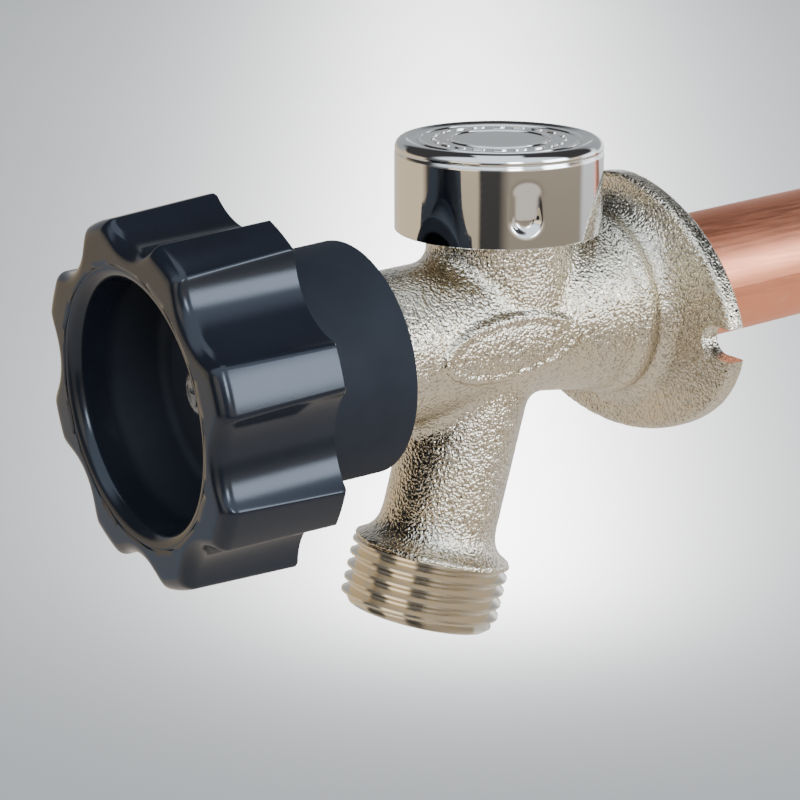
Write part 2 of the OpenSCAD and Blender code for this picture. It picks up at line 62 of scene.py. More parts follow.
PAD_Y, PAD_Z = -34.5, -0.5
TUBE = Matrix.Rotation(DRAIN_PITCH, 4, "X")
ALONG_TUBE = TUBE @ Matrix.Rotation(math.radians(-90), 4, "X")
ALONG_SPOUT = (
    TUBE @ Matrix.Translation((0, SPOUT_Y, 0)) @ Matrix.Rotation(-SPOUT_LEAN, 4, "X")
)
BREAKER = Matrix.Translation((0, BREAKER_Y, 0))
WALL_PLATE = Matrix.Rotation(math.radians(90), 4, "X")
BARREL_SIDE = (
    TUBE
    @ Matrix.Translation((0, PAD_Y, PAD_Z))
    @ Matrix(((0, 0, 1, 0), (1, 0, 0, 0), (0, 1, 0, 0), (0, 0, 0, 1)))
)
WELD_GAP = 0.0005


# Modelling helpers


def drop_selection():
    if bpy.context.mode != "OBJECT":
        bpy.ops.object.mode_set(mode="OBJECT")
    bpy.ops.object.select_all(action="DESELECT")


def hold(obj, *others):
    """Selects obj and others and makes obj the active one."""
    drop_selection()
    for o in (obj, *others):
        o.select_set(True)
    bpy.context.view_layer.objects.active = obj
    return obj


@contextmanager
def editing(obj):
    """Edit mode on obj, with everything selected."""
    hold(obj)
    bpy.ops.object.mode_set(mode="EDIT")
    bpy.ops.mesh.select_mode(type="VERT")
    bpy.ops.mesh.select_all(action="SELECT")
    yield bmesh.from_edit_mesh(obj.data)
    bpy.ops.object.mode_set(mode="OBJECT")


def settle(obj, matrix):
    """Moves a piece by matrix and applies that, so that its object stays at the origin."""
    hold(obj)
    obj.matrix_world = matrix
    bpy.ops.object.transform_apply(location=True, rotation=True, scale=True)
    return obj


def modify(obj, kind, **settings):
    """Adds a modifier and applies it."""
    hold(obj)
    modifier = obj.modifiers.new(kind.title(), kind)
    for key, value in settings.items():
        setattr(modifier, key, value)
    bpy.ops.object.modifier_apply(modifier=modifier.name)
    return obj


def cut(obj, tool, operation="DIFFERENCE"):
    """Cuts a tool out of obj, or joins it on, and throws the tool away."""
    modify(obj, "BOOLEAN", operation=operation, solver="MANIFOLD", object=tool)
    bpy.data.objects.remove(tool)
    return obj


def weld(obj):
    """Merges doubled vertices and turns the faces outwards."""
    with editing(obj):
        bpy.ops.mesh.remove_doubles(threshold=WELD_GAP)
        bpy.ops.mesh.normals_make_consistent(inside=False)
    return obj


def joined(first, *others):
    """Joins others into first, as loose shells of one mesh."""
    hold(first, *others)
    bpy.ops.object.join()
    return first


def arc(x, y, r, start, end, n=8):
    """Points of an arc about (x, y), with its angles in degrees."""
    angles = [math.radians(start + (end - start) * i / n) for i in range(n + 1)]
    return [(x + r * math.cos(a), y + r * math.sin(a)) for a in angles]


def chain(name, points):
    """A chain of edges through (radius, height) points, drawn by extruding one vertex."""
    drop_selection()
    bpy.ops.mesh.primitive_plane_add(size=1, location=(0, 0, 0))
    obj = bpy.context.object
    obj.name = name
    spots = [Vector((r, 0, z)) for r, z in points]
    bpy.ops.object.mode_set(mode="EDIT")
    bpy.ops.mesh.select_all(action="SELECT")
    bpy.ops.mesh.merge(type="CENTER")
    bpy.ops.transform.translate(value=spots[0])
    for a, b in zip(spots, spots[1:]):
        bpy.ops.mesh.extrude_region_move(TRANSFORM_OT_translate={"value": b - a})
    bpy.ops.object.mode_set(mode="OBJECT")
    return obj


def spun(name, points, steps=96, place=None):
    """Spins a chain of (radius, height) points once round Z."""
    obj = chain(name, points)
    with editing(obj):
        bpy.ops.mesh.spin(
            steps=steps, angle=math.tau, center=(0, 0, 0), axis=(0, 0, 1), use_auto_merge=True
        )
    weld(obj)
    return settle(obj, place) if place else obj


def prism(name, outline, low, high, place=None, edge=0.0):
    """Extrudes a flat outline of (x, y) points from low to high, with rounded edges."""
    drop_selection()
    bpy.ops.mesh.primitive_circle_add(
        vertices=len(outline), radius=1, fill_type="NGON", location=(0, 0, 0)
    )
    obj = bpy.context.object
    obj.name = name
    with editing(obj) as bm:
        bm.verts.ensure_lookup_table()
        for v, (x, y) in zip(bm.verts, outline):
            v.co = (x, y, low)
        bpy.ops.mesh.extrude_region_move(
            TRANSFORM_OT_translate={"value": (0, 0, high - low)}
        )
        bpy.ops.mesh.select_all(action="SELECT")
        bpy.ops.mesh.normals_make_consistent(inside=False)
    if edge:
        modify(obj, "BEVEL", width=edge, segments=2, limit_method="ANGLE", angle_limit=0.8)
    return settle(obj, place) if place else obj


def dress(obj, finish, body, *nodes, slot, angle):
    """Gives a piece its shading, finish, body and the frame nodes that it stands for. The slot is
    not used.
    """
    hold(obj)
    bpy.ops.object.shade_smooth_by_angle(angle=math.radians(angle))
    obj.data.materials.clear()
    obj.data.materials.append(finish)
    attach(obj, body)
    if nodes:
        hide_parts(*nodes)
    return obj


# Shader helpers


class Amount:
    """A number that changes over a surface. Sums with it add Math nodes."""

    def __init__(self, paint, socket):
        self.paint = paint
        self.socket = socket

    def _with(self, operation, a, b):
        return self.paint.node("Math", {"operation": operation}, (a, b))

    def __add__(self, other):
        return self._with("ADD", self, other)

    __radd__ = __add__

    def __sub__(self, other):
        return self._with("SUBTRACT", self, other)

    def __rsub__(self, other):
        return self._with("SUBTRACT", other, self)

    def __mul__(self, other):
        return self._with("MULTIPLY", self, other)

    __rmul__ = __mul__

    def ramp(self, low, high, start=0.0, end=1.0):
        """Goes from start to end as this goes from low to high, and stays there."""
        settings = {"interpolation_type": "SMOOTHSTEP"}
        return self.paint.node("MapRange", settings, (self, low, high, start, end))


class Nodes:
    """A node tree under construction, of a material or of the studio's sky."""

    def __init__(self, tree):
        self.tree = tree

    def put(self, socket, value):
        if isinstance(value, Amount):
            self.tree.links.new(value.socket, socket)
        elif socket.type == "RGBA" and len(value) == 3:
            socket.default_value = (*value, 1.0)
        else:
            socket.default_value = value

    def node(self, kind, settings=None, values=(), output=0):
        """Adds a node: settings first, then its sockets' values or links, by order or name."""
        made = self.tree.nodes.new("ShaderNode" + kind)
        for key, value in (settings or {}).items():
            if key == "stops":
                stops = made.color_ramp.elements
                while len(stops) < len(value):
                    stops.new(1.0)
                for stop, (at, colour) in zip(stops, value):
                    stop.position = at
                    stop.color = (*colour, 1.0)
            else:
                setattr(made, key, value)
        pairs = values.items() if isinstance(values, dict) else enumerate(values)
        for key, value in pairs:
            self.put(made.inputs[key], value)
        return Amount(self, made.outputs[output])

    def mix(self, factor, a, b, blend="MIX"):
        """Mixes two colours."""
        made = self.tree.nodes.new("ShaderNodeMix")
        made.data_type = "RGBA"
        made.blend_type = blend
        for key, value in ((0, factor), (6, a), (7, b)):
            self.put(made.inputs[key], value)
        return Amount(self, made.outputs[2])


class Paint(Nodes):
    """A material under construction, round one Principled shader."""

    def __init__(self, name, colour, metallic, roughness, **constants):
        self.material = bpy.data.materials.new(name)
        self.material.use_nodes = True
        super().__init__(self.material.node_tree)
        self.shader = self.tree.nodes["Principled BSDF"]
        self.put(self.shader.inputs["Base Color"], colour)
        self.put(self.shader.inputs["Metallic"], metallic)
        self.put(self.shader.inputs["Roughness"], roughness)
        for key, value in constants.items():
            self.put(self.shader.inputs[key.replace("_", " ")], value)

    def here(self, stretch=(1, 1, 1), turn=(0, 0, 0)):
        """The place on the piece in metres, turned and stretched."""
        place = self.node("TexCoord", output="Object")
        values = {"Vector": place, "Rotation": turn, "Scale": stretch}
        return self.node("Mapping", {"vector_type": "POINT"}, values)

    def noise(self, size, detail=2.0, roughness=0.5, place=None):
        """Noise whose lumps are size millimetres across, from 0 to 1."""
        values = {
            "Vector": place or self.here(),
            "Scale": 1000.0 / size,
            "Detail": detail,
            "Roughness": roughness,
        }
        return self.node("TexNoise", {}, values)

    def pebbles(self, size):
        """Rounded grains size millimetres across: 0 at their middles, more between them."""
        settings = {"feature": "SMOOTH_F1"}
        values = {"Vector": self.here(), "Scale": 1000.0 / size, "Smoothness": 0.5}
        return self.node("TexVoronoi", settings, values)

    def set(self, **links):
        for key, value in links.items():
            self.put(self.shader.inputs[key.replace("_", " ")], value)
        return self

    def bump(self, height, depth):
        """Bumps the surface by height, whose whole range is depth millimetres."""
        values = {"Strength": 1.0, "Distance": depth * 0.001, "Height": height}
        return self.set(Normal=self.node("Bump", {}, values))


# Finishes


def cast_nickel(colours):
    """Sand-cast brass under satin nickel plate: coarse sparkling grain."""
    paint = Paint("cast_nickel", tuple(colours.nickel), 1.0, 0.3)
    grain = paint.pebbles(0.5)
    fine = paint.noise(0.46, 1.0)
    lumps = paint.noise(2.2, 2.0)
    tone = paint.noise(9.0, 2.0)
    light = paint.mix(tone.ramp(0.35, 0.65), tuple(colours.nickel), tuple(colours.nickel_warm))
    # Painted shade: the base colour darkens to 70% in the hollows between the grains, where the
    # bump sinks the surface.
    pit_shade = tuple(c * 0.7 for c in colours.nickel)
    paint.set(
        Base_Color=paint.mix(grain.ramp(0.5, 0.8), light, pit_shade),
        Roughness=fine.ramp(0.3, 0.7, 0.05, 0.1),
    )
    return paint.bump(fine + lumps * 0.8 - grain * 0.5, 0.23).material


def turned_nickel(colours):
    """Machined nickel plate of the spout's end and the bonnet, with fine tool rings."""
    paint = Paint("turned_nickel", tuple(colours.nickel), 1.0, 0.2)
    along = paint.here((0.05, 0.3, 1), (SPOUT_LEAN - DRAIN_PITCH, 0, 0))
    rings = paint.noise(0.12, 2.0, place=along)
    wear = paint.noise(1.6, 3.0)
    worn = paint.mix(wear.ramp(0.45, 0.7), tuple(colours.nickel), tuple(colours.nickel_warm))
    paint.set(Base_Color=worn, Roughness=rings.ramp(0.3, 0.7, 0.1, 0.18))
    return paint.bump(rings + wear * 0.6, 0.006).material


def chrome_plate(colours):
    """Bright chrome on pressed sheet, a little wavy."""
    paint = Paint("chrome_plate", tuple(colours.chrome), 1.0, 0.05)
    waves = paint.noise(7.0, 1.0)
    dust = paint.noise(0.25, 3.0)
    paint.set(Roughness=dust.ramp(0.45, 0.8, 0.045, 0.12))
    return paint.bump(waves + dust * 0.02, 0.02).material


def drawn_copper(colours):
    """Drawn copper tube, satin, with fine streaks along it."""
    paint = Paint("drawn_copper", tuple(colours.copper), 1.0, 0.4)
    streaks = paint.noise(0.6, 4.0, 0.6, paint.here((1, 0.03, 1), (-DRAIN_PITCH, 0, 0)))
    scuffs = paint.noise(1.2, 4.0, 0.6, paint.here((1, 0.3, 1), (-DRAIN_PITCH, 0, 0)))
    cloud = paint.noise(14.0, 3.0)
    warm = paint.mix(cloud.ramp(0.35, 0.7), tuple(colours.copper), (0.96, 0.37, 0.22))
    paint.set(
        Base_Color=paint.mix(scuffs.ramp(0.55, 0.8), warm, (1.0, 0.48, 0.32)),
        Roughness=streaks.ramp(0.3, 0.7, 0.36, 0.48),
    )
    return paint.bump(streaks * 0.5 + scuffs, 0.012).material


def turned_brass(colours):
    """Turned yellow brass with faint tool marks and a little tarnish."""
    paint = Paint("turned_brass", tuple(colours.brass), 1.0, 0.25)
    rings = paint.noise(0.2, 2.0, place=paint.here((0.05, 1, 0.05), (-DRAIN_PITCH, 0, 0)))
    tarnish = paint.noise(5.0, 4.0)
    paint.set(
        Base_Color=paint.mix(tarnish.ramp(0.45, 0.75), tuple(colours.brass), (0.45, 0.29, 0.12)),
        Roughness=rings.ramp(0.3, 0.7, 0.2, 0.34),
    )
    return paint.bump(rings, 0.008).material


def zinc_steel(colours):
    """Bright zinc plate on the small steel parts."""
    paint = Paint("zinc_steel", tuple(colours.steel), 1.0, 0.2)
    haze = paint.noise(0.8, 3.0)
    paint.set(
        Base_Color=paint.mix(haze.ramp(0.5, 0.8), tuple(colours.steel), (0.5, 0.52, 0.55)),
        Roughness=haze.ramp(0.3, 0.7, 0.14, 0.3),
    )
    return paint.bump(haze, 0.006).material


def moulded_navy(colours):
    """Glossy moulded plastic, nearly black, dull in the cup, with a faint orange-peel skin."""
    paint = Paint(
        "moulded_navy", tuple(colours.handle), 0.0, 0.15, Specular_IOR_Level=0.47,
        Specular_Tint=(0.75, 0.85, 1.0),
    )
    skin = paint.noise(0.5, 2.0)
    flow = paint.noise(12.0, 3.0)
    deep = tuple(c * 0.8 for c in colours.handle)
    along = paint.here(turn=(-DRAIN_PITCH, 0, 0))
    x = paint.node("SeparateXYZ", values=(along,), output="X")
    z = paint.node("SeparateXYZ", values=(along,), output="Z")
    glossy_from, dull_to = 0.01965, 0.0193
    inside = (x * x + z * z).ramp(glossy_from ** 2, dull_to ** 2)
    paint.set(
        Base_Color=paint.mix(flow.ramp(0.35, 0.7), tuple(colours.handle), deep),
        Roughness=flow.ramp(0.3, 0.7, 0.13, 0.18) + inside * 0.6,
    )
    return paint.bump(skin, 0.004).material


def moulded_white(colours):
    """Off-white acetal of the float."""
    paint = Paint("moulded_white", (0.8, 0.79, 0.74), 0.0, 0.4)
    cloud = paint.noise(3.0, 3.0)
    paint.set(
        Base_Color=paint.mix(cloud.ramp(0.3, 0.7), (0.8, 0.79, 0.74), (0.72, 0.7, 0.64)),
        Roughness=cloud.ramp(0.3, 0.7, 0.34, 0.48),
    )
    return paint.bump(paint.noise(0.2), 0.004).material


def black_rubber(colours):
    """Moulded nitrile rubber of the seals."""
    paint = Paint("black_rubber", (0.02, 0.02, 0.021), 0.0, 0.6)
    bloom = paint.noise(1.5, 4.0)
    paint.set(
        Base_Color=paint.mix(bloom.ramp(0.45, 0.8), (0.018, 0.018, 0.019), (0.06, 0.06, 0.058)),
        Roughness=bloom.ramp(0.3, 0.7, 0.5, 0.7),
    )
    return paint.bump(paint.noise(0.15), 0.006).material


FINISHES = {
    "cast_nickel": cast_nickel,
    "turned_nickel": turned_nickel,
    "chrome_plate": chrome_plate,
    "drawn_copper": drawn_copper,
    "turned_brass": turned_brass,
    "zinc_steel": zinc_steel,
    "moulded_navy": moulded_navy,
    "moulded_white": moulded_white,
    "black_rubber": black_rubber,
}
CARRIED_OVER = {
    "drawn_copper": ["supply_tube"],
    "turned_nickel": ["breaker_bonnet"],
    "turned_brass": [
        "inlet_fitting", "packing_nut", "packing_washer", "stem_bushing", "stem_head",
        "operating_rod", "stem_tail", "seat_disc_holder", "float_seat",
    ],
    "zinc_steel": ["seat_screw", "handle_screw", "handle_screw_washer"],
    "moulded_white": ["breaker_float"],
    "black_rubber": [
        "packing_ring", "stem_seal_front", "stem_seal_rear", "seat_washer", "float_seal",
        "bonnet_gasket",
    ],
}


def finish_of(name):
    made = bpy.data.materials.get(name)
    return made or FINISHES[name](bpy.context.scene.sillcock_colours)


# Sizes and colours


class SillcockSizes(bpy.types.PropertyGroup):
    lobe_turn: FloatProperty(
        name="Lobe turn", description="Angle of the first lobe above the level",
        default=math.radians(17.5), unit="ROTATION",
    )
    grip_radius: FloatProperty(
        name="Grip radius", description="Radius over the lobes at the grip's rear",
        default=0.0299, unit="LENGTH", precision=4,
    )
    lobe_count: IntProperty(name="Lobes", description="Number of lobes round the grip", default=8)
    flute_radius: FloatProperty(
        name="Flute radius", description="Radius of the hollows between the lobes",
        default=0.0113, unit="LENGTH", precision=4,
    )
    cap_radius: FloatProperty(
        name="Cap radius", description="Radius of the vacuum breaker's cap",
        default=0.0172, unit="LENGTH", precision=4,
    )
    dimple_count: IntProperty(
        name="Dimples", description="Number of pressed dimples in the cap", default=3
    )
    thread_pitch: FloatProperty(
        name="Hose thread pitch", description="Pitch of the garden hose thread",
        default=0.002209, unit="LENGTH", precision=6,
    )
    cast_fillet: FloatProperty(
        name="Cast fillet", description="Radius of the fillets between the casting's parts",
        default=0.0026, unit="LENGTH", precision=4,
    )
    voxel: FloatProperty(
        name="Casting detail", description="Edge length of the casting's faces",
        default=0.0004, unit="LENGTH", precision=5,
    )


class SillcockColours(bpy.types.PropertyGroup):
    nickel: FloatVectorProperty(
        name="Nickel", description="Plating on the casting", subtype="COLOR",
        default=(0.73, 0.69, 0.6), min=0, max=1,
    )
    nickel_warm: FloatVectorProperty(
        name="Warm nickel", description="Thinner plating, where brass shows through",
        subtype="COLOR", default=(0.75, 0.69, 0.56), min=0, max=1,
    )
    chrome: FloatVectorProperty(
        name="Chrome", description="Plating on the cap", subtype="COLOR",
        default=(0.75, 0.76, 0.77), min=0, max=1,
    )
    copper: FloatVectorProperty(
        name="Copper", description="The supply tube", subtype="COLOR",
        default=(1.0, 0.41, 0.25), min=0, max=1,
    )
    brass: FloatVectorProperty(
        name="Brass", description="The turned brass pieces", subtype="COLOR",
        default=(0.7, 0.5, 0.24), min=0, max=1,
    )
    steel: FloatVectorProperty(
        name="Steel", description="Screws and their washers", subtype="COLOR",
        default=(0.62, 0.63, 0.65), min=0, max=1,
    )
    handle: FloatVectorProperty(
        name="Handle", description="The handle's plastic", subtype="COLOR",
        default=(0.013, 0.0155, 0.023), min=0, max=1,
    )
    backdrop: FloatVectorProperty(
        name="Backdrop", description="The floor", subtype="COLOR",
        default=(0.51, 0.51, 0.51), min=0, max=1,
    )


# The casting

BARREL = [
    (0, -66), (9.2, -66), (9.6, -65.6), (9.6, -60.4), (12.3, -60), (12.7, -59.6),
    (12.7, -27), (12.9, -22.5), (13.9, -16.5), (15.1, -11.2), (15.5, -8.6), (15.6, -6.5),
    (15.9, -4.8), (17.2, -3.6), (17.2, -1.7), (0, -1.7),
]
COLLAR = [
    (13.5, -10.8), (14.9, -10.3), (15.9, -9.5), (16.3, -8.5), (16.35, -7.6), (16.1, -6.6),
    (15.7, -5.8), (13.5, -5.6), (13.5, -10.8),
]
SPOUT_NECK = [
    (0, -1), (9.8, -1), (9.8, -33), *arc(14.3, -34, 4.4, 180, 258, 8), (13.35, -38.8),
    (13.35, -39.2), (0, -39.2),
]
BOSS = [
    (0, 0), (12.6, 0), (12.4, 5), (12, 9.5), (12, 16), (13.1, 16.4), (13.1, 22), (0, 22),
]
BARREL_BORE = [
    (0, -67), (7.5, -67), (7.5, -53), (7, -53), (7, -42), (8.4, -42), (8.4, -13.5),
    (11.15, -13.5), (11.15, -1.5), (11.61, -1.5), (11.61, 2), (0, 2),
]
SPOUT_BORE_RADIUS = 8.2
SPOUT_BORE = [(0, -53), (SPOUT_BORE_RADIUS, -53), (SPOUT_BORE_RADIUS, -7), (0, -7)]
BREAKER_BORE = [(0, -2), (5.5, -2), (5.5, 12), (9, 12), (9, 23), (0, 23)]

# Lengths and widths of the oval pad, its sunk field and the screw slots. PAD_TOP and
# FIELD_FLOOR are radii about the barrel's axis.
PAD, PAD_TOP = (27, 11), 13.5
FIELD, FIELD_FLOOR = (24.8, 8.8), 13.1
SLOT, SLOT_X, SLOT_Y = (21, 5.5), 34, -2.75
PLATE_THICKNESS, PLATE_EDGE = 3.5, 0.3
SAND_GRAIN, SAND_DEPTH = 1.1, 0.07


def flange_outline():
    """An ellipse below the flange's widest line and a slightly pointed curve above it."""
    half_width, widest_at = 30.8, -3.4
    points = []
    for i in range(120):
        a = math.radians(3 * i)
        c, s = math.cos(a), math.sin(a)
        power, high = (1.75, 24.8) if s > 0 else (2, 19.5)
        points.append((
            math.copysign(half_width * abs(c) ** (2 / power), c),
            math.copysign(high * abs(s) ** (2 / power), s) + widest_at,
        ))
    return points


def oval(length, width, n=72):
    turns = [math.tau * i / n for i in range(n)]
    return [(length / 2 * math.cos(t), width / 2 * math.sin(t)) for t in turns]


def stadium(length, width, n=14):
    """A flat oval with straight sides."""
    x, r = (length - width) / 2, width / 2
    return arc(x, 0, r, -90, 90, n) + arc(-x, 0, r, 90, 270, n)


def barrel_skin(name, radius):
    """A plain cylinder round the barrel's axis, to cut the pad with."""
    return spun(name, [(0, -60), (radius, -60), (radius, -12), (0, -12)], 192, ALONG_TUBE)


class SILLCOCK_OT_casting(bpy.types.Operator):
    """Casts the body in one blended piece, then machines its bores and slots"""

    bl_idname = "sillcock.casting"
    bl_label = "Casting"

    def execute(self, context):
        sizes = context.scene.sillcock_sizes
        fillet, voxel = sizes.cast_fillet * 1000, sizes.voxel * 1000
        body = joined(
            spun("casting_body", BARREL, place=ALONG_TUBE),
            spun("neck", SPOUT_NECK, place=ALONG_SPOUT),
            spun("boss", BOSS, place=BREAKER),
            prism("plate", flange_outline(), 0, PLATE_THICKNESS, WALL_PLATE, PLATE_EDGE),
        )
        modify(body, "REMESH", mode="VOXEL", voxel_size=voxel)
        modify(body, "DISPLACE", strength=fillet, mid_level=0)
        modify(body, "REMESH", mode="VOXEL", voxel_size=voxel)
        modify(body, "DISPLACE", strength=-fillet, mid_level=0)
        pad = prism("pad", oval(*PAD), 9, 15, BARREL_SIDE)
        cut(pad, barrel_skin("skin", PAD_TOP), "INTERSECT")
        field = prism("field", oval(*FIELD), 9, 16, BARREL_SIDE)
        cut(field, barrel_skin("core", FIELD_FLOOR))
        cut(pad, field)
        joined(body, pad, spun("collar", COLLAR, 96, ALONG_TUBE))
        modify(body, "REMESH", mode="VOXEL", voxel_size=voxel)
        modify(body, "SMOOTH", factor=0.5, iterations=3)
        sand = bpy.data.textures.new("sand", "CLOUDS")
        sand.noise_scale = SAND_GRAIN
        modify(body, "DISPLACE", texture=sand, strength=SAND_DEPTH, mid_level=0.5)
        for side in (-1, 1):
            slot = prism("slot", stadium(*SLOT), -2, 6)
            place = Matrix.Translation((SLOT_X * side, SLOT_Y, 0))
            cut(body, settle(slot, WALL_PLATE @ place))
        bores = (
            (BARREL_BORE, ALONG_TUBE), (SPOUT_BORE, ALONG_SPOUT), (BREAKER_BORE, BREAKER),
        )
        for profile, place in bores:
            cut(body, spun("bore", profile, place=place))
        settle(body, METRES)
        finish = finish_of("cast_nickel")
        dress(body, finish, "casting", "body_casting", slot="nickel_casting", angle=50)
        return {"FINISHED"}


# The hose thread

THREAD_ROOT, THREAD_CREST = 12.2, 13.45
THREAD_LOW, THREAD_HIGH = -50.2, -38.9
# How far up each turn its valley ends, its crest starts and its crest ends
VALLEY_END, CREST_START, CREST_END = 0.38, 1.02, 1.42


class SILLCOCK_OT_hose_thread(bpy.types.Operator):
    """Cuts a true helical garden hose thread on the spout's end"""

    bl_idname = "sillcock.hose_thread"
    bl_label = "Hose thread"

    def execute(self, context):
        pitch = context.scene.sillcock_sizes.thread_pitch * 1000
        root, crest, low, high = THREAD_ROOT, THREAD_CREST, THREAD_LOW, THREAD_HIGH
        points = []
        for i in range(-1, 7):
            z = low + (i - 0.5) * pitch
            points += [
                (root, z), (root, z + VALLEY_END), (crest, z + CREST_START),
                (crest, z + CREST_END),
            ]
        thread = chain("spout_thread", points)
        modify(
            thread, "SCREW", axis="Z", angle=math.tau, screw_offset=pitch, steps=128,
            render_steps=128, use_merge_vertices=True, merge_threshold=WELD_GAP,
            use_smooth_shade=False,
        )
        weld(thread)
        with editing(thread) as bm:
            bpy.ops.mesh.bisect(plane_co=(0, 0, low), plane_no=(0, 0, -1), clear_outer=True)
            bpy.ops.mesh.select_all(action="SELECT")
            bpy.ops.mesh.bisect(plane_co=(0, 0, high), plane_no=(0, 0, 1), clear_outer=True)
            bpy.ops.mesh.select_all(action="SELECT")
            bpy.ops.mesh.remove_doubles(threshold=0.01)
            # The first turn runs out in a bevel at the mouth
            for v in bm.verts:
                r = math.hypot(v.co.x, v.co.y)
                limit = min(r, root - 0.25 + (v.co.z - low) * 1.2)
                v.co.x *= limit / r
                v.co.y *= limit / r
            # Ends: a flat mouth and a flat top, both down to the bore, then the bore's wall
            for z in (low, high):
                for e in bm.edges:
                    e.select = False
                for e in bm.edges:
                    if e.is_boundary and all(abs(v.co.z - z) < 0.01 for v in e.verts):
                        e.select = True
                bm.select_flush(True)
                bmesh.update_edit_mesh(thread.data)
                bpy.ops.mesh.extrude_edges_move()
                bm = bmesh.from_edit_mesh(thread.data)
                for v in bm.verts:
                    if v.select:
                        r = math.hypot(v.co.x, v.co.y)
                        v.co = (
                            v.co.x * SPOUT_BORE_RADIUS / r, v.co.y * SPOUT_BORE_RADIUS / r, z
                        )
                bmesh.update_edit_mesh(thread.data)
            for e in bm.edges:
                e.select = e.is_boundary
            bm.select_flush(True)
            bmesh.update_edit_mesh(thread.data)
            bpy.ops.mesh.bridge_edge_loops()
        weld(thread)
        settle(thread, METRES @ ALONG_SPOUT)
        dress(thread, finish_of("turned_nickel"), "casting", slot="nickel_casting", angle=25)
        return {"FINISHED"}


# The cap

CAP_LOW, CAP_TOP, CAP_WALL = 14.7, 29.9, 0.9
DIMPLE_FIRST = math.radians(-21.4)
DIMPLE_UP = 6.6
RING_RADII = (13.3, 8.2)
DASH, DASH_RADIUS, DASH_COUNT = (2.2, 0.62), 10.8, 20


def dimple_depth(across, up):
    """How deep the pressed dimple is at a place across and up from its middle."""
    half, straight, deepest = 2.95, 1.9, 1.15
    away = math.hypot(across, max(abs(up) - straight, 0)) / half
    if away >= 1:
        return 0.0
    wall = min(1.0, (1 - away) / 0.55)
    slope = min(1.0, max(0.0, (4.9 - up) / 7.0))
    return deepest * slope ** 1.2 * wall * wall * (3 - 2 * wall)


class SILLCOCK_OT_cap(bpy.types.Operator):
    """Presses the chromed cap, with its rolled edge, dimples and plain raised marks"""

    bl_idname = "sillcock.cap"
    bl_label = "Cap"

    def execute(self, context):
        sizes = context.scene.sillcock_sizes
        r, low, top, wall = sizes.cap_radius * 1000, CAP_LOW, CAP_TOP, CAP_WALL
        rows = [low + 0.25 + 0.3 * i for i in range(43)]
        outer = [(r - 0.12, low), (r, low + 0.12)] + [(r, z) for z in rows]
        edge = [(r - 0.2, 27.9), (r - 0.22, 28.02), (r - 0.06, 28.25)]
        edge += arc(r - 1.66, top - 1.6, 1.62, 0, 90, 10)
        lid = [(r - 1.9, top - 0.02), (r - 2.3, top - 0.28), (r - 2.8, top - 0.32)]
        plate = [(x, top - 0.32) for x in (13, 11, 8, 4)] + [(0, top - 0.32)]
        inner = [(0, top - 0.32 - wall), (r - 2.5, top - 0.32 - wall), (r - wall, 27.9)]
        back = [(r - wall, z) for z in reversed(rows)] + [(r - wall, low), (r - 0.12, low)]
        cap = spun("cap_shell", outer + edge + lid + plate + inner + back, 360)
        with editing(cap) as bm:
            for i in range(sizes.dimple_count):
                face = DIMPLE_FIRST + i * math.tau / sizes.dimple_count
                for v in bm.verts:
                    radius = math.hypot(v.co.x, v.co.y)
                    turn = math.remainder(math.atan2(v.co.y, v.co.x) - face, math.tau)
                    if abs(turn) > 0.3 or radius < r - wall - 0.01 or v.co.z > 27.8:
                        continue
                    depth = dimple_depth(turn * r, v.co.z - low - DIMPLE_UP)
                    v.co.x *= (radius - depth) / radius
                    v.co.y *= (radius - depth) / radius
            bmesh.update_edit_mesh(cap.data)
        ring_low, ring_high = top - 0.45, top - 0.12
        rings = []
        for mid in RING_RADII:
            rings.append(spun("ring", [
                (mid - 0.42, ring_low), (mid - 0.3, ring_high - 0.05), (mid - 0.15, ring_high),
                (mid + 0.15, ring_high), (mid + 0.3, ring_high - 0.05), (mid + 0.42, ring_low),
                (mid - 0.42, ring_low),
            ], 144))
        dash = prism("dash", stadium(*DASH, 5), ring_low, ring_high, edge=0.08)
        settle(dash, Matrix.Translation((0, DASH_RADIUS, 0)))
        dashes = []
        for i in range(DASH_COUNT):
            copy = bpy.data.objects.new("dash", dash.data.copy())
            context.scene.collection.objects.link(copy)
            dashes.append(settle(copy, Matrix.Rotation(math.tau * i / DASH_COUNT, 4, "Z")))
        bpy.data.objects.remove(dash)
        joined(cap, *rings, *dashes)
        settle(cap, METRES @ BREAKER)
        dress(cap, finish_of("chrome_plate"), "casting", "breaker_cap", slot="chrome", angle=40)
        return {"FINISHED"}


# The handle

GRIP_REAR, GRIP_FRONT = -77.0, -97.4
FRONT_EDGE = 2.5
LIP_RING = 22.4
DRAFT = 0.9  # how much smaller the grip's radius is at its front
FLUTE_DEPTH = 4.5
COLUMNS_PER_LOBE = 40


